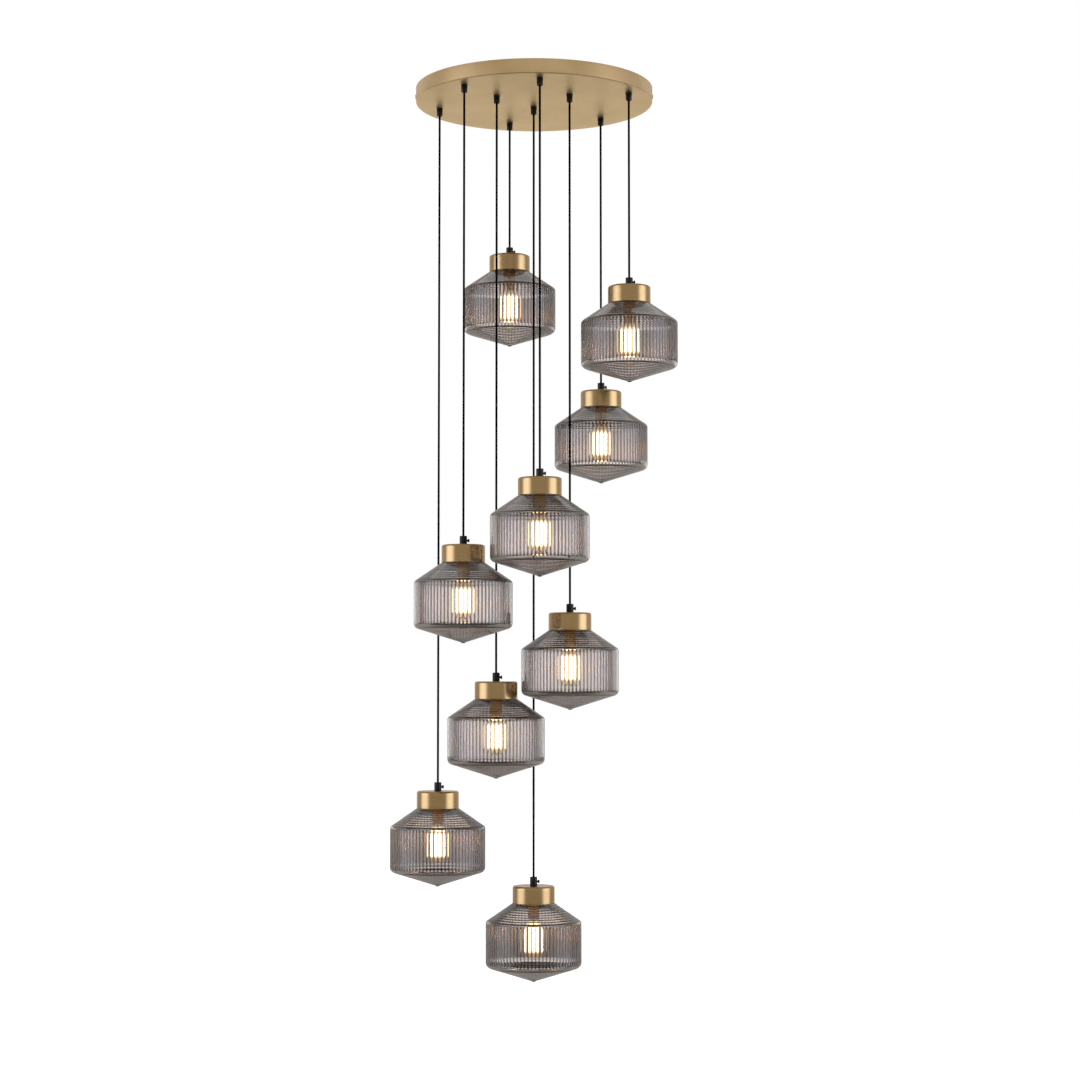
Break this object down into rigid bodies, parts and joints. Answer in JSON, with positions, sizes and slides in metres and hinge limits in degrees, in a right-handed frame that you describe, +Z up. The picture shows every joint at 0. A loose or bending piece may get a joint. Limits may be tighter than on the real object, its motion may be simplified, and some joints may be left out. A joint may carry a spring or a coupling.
{
  "type": "cluster pendant light",
  "caption": "Cluster pendant light: smoked ribbed glass lanterns with brass caps, hung on black cords of different lengths from one round brass ceiling canopy.",
  "frame": {"origin": "centre of the ceiling bracket's face, on the ceiling, midway between its two screw holes", "axes": "+Z up, +X to the right of a viewer in front of the light, +Y away from that viewer"},
  "size_m": [0.599, 0.581, 1.877],
  "materials": {
    "antique_brass": "brushed, slightly darkened",
    "cap_brass": "spun and brushed upright",
    "sleeve_brass": "dull, brown",
    "zinc_steel": "zinc plated",
    "plated_steel": "satin plated",
    "black_metal": "semi-gloss black",
    "white_plastic": "moulded, matt",
    "black_cord": "smooth black sheath",
    "bulb_glass": "clear, warm lit",
    "smoke_glass": "smoke grey, ribbed inside"
  },
  "bodies": {
    "canopy_assembly": {"canopy": "antique_brass", "ceiling_bracket": "zinc_steel", "canopy_fasteners": "plated_steel", "cord_glands": "black_metal", "terminal_block": "white_plastic", "cord_tails": "black_cord"},
    "hanging_cord_1": {"cord_1": "black_cord"},
    "lamp_1": {"cord_grip_1": "black_metal", "cap_1": "cap_brass", "lamp_holder_1": "sleeve_brass", "bulb_1": "bulb_glass", "shade_1": "smoke_glass"},
    "hanging_cord_2": {"cord_2": "black_cord"},
    "lamp_2": {"cord_grip_2": "black_metal", "cap_2": "cap_brass", "lamp_holder_2": "sleeve_brass", "bulb_2": "bulb_glass", "shade_2": "smoke_glass"},
    "hanging_cord_3": {"cord_3": "black_cord"},
    "lamp_3": {"cord_grip_3": "black_metal", "cap_3": "cap_brass", "lamp_holder_3": "sleeve_brass", "bulb_3": "bulb_glass", "shade_3": "smoke_glass"},
    "hanging_cord_4": {"cord_4": "black_cord"},
    "lamp_4": {"cord_grip_4": "black_metal", "cap_4": "cap_brass", "lamp_holder_4": "sleeve_brass", "bulb_4": "bulb_glass", "shade_4": "smoke_glass"},
    "hanging_cord_5": {"cord_5": "black_cord"},
    "lamp_5": {"cord_grip_5": "black_metal", "cap_5": "cap_brass", "lamp_holder_5": "sleeve_brass", "bulb_5": "bulb_glass", "shade_5": "smoke_glass"},
    "hanging_cord_6": {"cord_6": "black_cord"},
    "lamp_6": {"cord_grip_6": "black_metal", "cap_6": "cap_brass", "lamp_holder_6": "sleeve_brass", "bulb_6": "bulb_glass", "shade_6": "smoke_glass"},
    "hanging_cord_7": {"cord_7": "black_cord"},
    "lamp_7": {"cord_grip_7": "black_metal", "cap_7": "cap_brass", "lamp_holder_7": "sleeve_brass", "bulb_7": "bulb_glass", "shade_7": "smoke_glass"},
    "hanging_cord_8": {"cord_8": "black_cord"},
    "lamp_8": {"cord_grip_8": "black_metal", "cap_8": "cap_brass", "lamp_holder_8": "sleeve_brass", "bulb_8": "bulb_glass", "shade_8": "smoke_glass"},
    "hanging_cord_9": {"cord_9": "black_cord"},
    "lamp_9": {"cord_grip_9": "black_metal", "cap_9": "cap_brass", "lamp_holder_9": "sleeve_brass", "bulb_9": "bulb_glass", "shade_9": "smoke_glass"}
  },
  "joints": [
    {"name": "cord_1_sway", "type": "hinge", "parent": "canopy_assembly", "child": "hanging_cord_1", "pos_m": [-0.054, 0.171, -0.044], "axis": [1, 0, 0], "range_deg": [-4, 4]},
    {"name": "lamp_1_tilt", "type": "hinge", "parent": "hanging_cord_1", "child": "lamp_1", "pos_m": [-0.054, 0.171, -0.308], "axis": [0, -1, 0], "range_deg": [-10, 10]},
    {"name": "cord_2_sway", "type": "hinge", "parent": "canopy_assembly", "child": "hanging_cord_2", "pos_m": [0.197, -0.089, -0.044], "axis": [1, 0, 0], "range_deg": [-4, 4]},
    {"name": "lamp_2_tilt", "type": "hinge", "parent": "hanging_cord_2", "child": "lamp_2", "pos_m": [0.197, -0.089, -0.42], "axis": [0, -1, 0], "range_deg": [-4, 10]},
    {"name": "cord_3_sway", "type": "hinge", "parent": "canopy_assembly", "child": "hanging_cord_3", "pos_m": [0.144, 0.128, -0.044], "axis": [1, 0, 0], "range_deg": [-4, 4]},
    {"name": "lamp_3_tilt", "type": "hinge", "parent": "hanging_cord_3", "child": "lamp_3", "pos_m": [0.144, 0.128, -0.611], "axis": [0, -1, 0], "range_deg": [-10, 10]},
    {"name": "cord_4_sway", "type": "hinge", "parent": "canopy_assembly", "child": "hanging_cord_4", "pos_m": [0.012, -0.21, -0.044], "axis": [1, 0, 0], "range_deg": [-4, 2.5]},
    {"name": "lamp_4_tilt", "type": "hinge", "parent": "hanging_cord_4", "child": "lamp_4", "pos_m": [0.012, -0.21, -0.828], "axis": [0, -1, 0], "range_deg": [-4, 10]},
    {"name": "cord_5_sway", "type": "hinge", "parent": "canopy_assembly", "child": "hanging_cord_5", "pos_m": [-0.143, -0.156, -0.044], "axis": [0.7071, 0.7071, 0], "range_deg": [-0.5, 4]},
    {"name": "lamp_5_tilt", "type": "hinge", "parent": "hanging_cord_5", "child": "lamp_5", "pos_m": [-0.143, -0.156, -0.96], "axis": [0.7071, -0.7071, 0], "range_deg": [-10, 1]},
    {"name": "cord_6_sway", "type": "hinge", "parent": "canopy_assembly", "child": "hanging_cord_6", "pos_m": [0.074, -0.076, -0.044], "axis": [0.9848, -0.1736, 0], "range_deg": [-2, 1.5]},
    {"name": "lamp_6_tilt", "type": "hinge", "parent": "hanging_cord_6", "child": "lamp_6", "pos_m": [0.074, -0.076, -1.095], "axis": [-0.1736, -0.9848, 0], "range_deg": [-0.5, 10]},
    {"name": "cord_7_sway", "type": "hinge", "parent": "canopy_assembly", "child": "hanging_cord_7", "pos_m": [-0.078, -0.065, -0.044], "axis": [0.866, 0.5, 0], "range_deg": [-0.25, 2.5]},
    {"name": "lamp_7_tilt", "type": "hinge", "parent": "hanging_cord_7", "child": "lamp_7", "pos_m": [-0.078, -0.065, -1.236], "axis": [0.5, -0.866, 0], "range_deg": [-7, 3]},
    {"name": "cord_8_sway", "type": "hinge", "parent": "canopy_assembly", "child": "hanging_cord_8", "pos_m": [-0.202, 0.044, -0.044], "axis": [1, 0, 0], "range_deg": [-4, 4]},
    {"name": "lamp_8_tilt", "type": "hinge", "parent": "hanging_cord_8", "child": "lamp_8", "pos_m": [-0.202, 0.044, -1.465], "axis": [0, -1, 0], "range_deg": [-10, 10]},
    {"name": "cord_9_sway", "type": "hinge", "parent": "canopy_assembly", "child": "hanging_cord_9", "pos_m": [-0.001, 0.03, -0.044], "axis": [0.9659, 0.2588, 0], "range_deg": [-0.75, 4]},
    {"name": "lamp_9_tilt", "type": "hinge", "parent": "hanging_cord_9", "child": "lamp_9", "pos_m": [-0.001, 0.03, -1.661], "axis": [0.2588, -0.9659, 0], "range_deg": [-10, 10]}
  ]
}
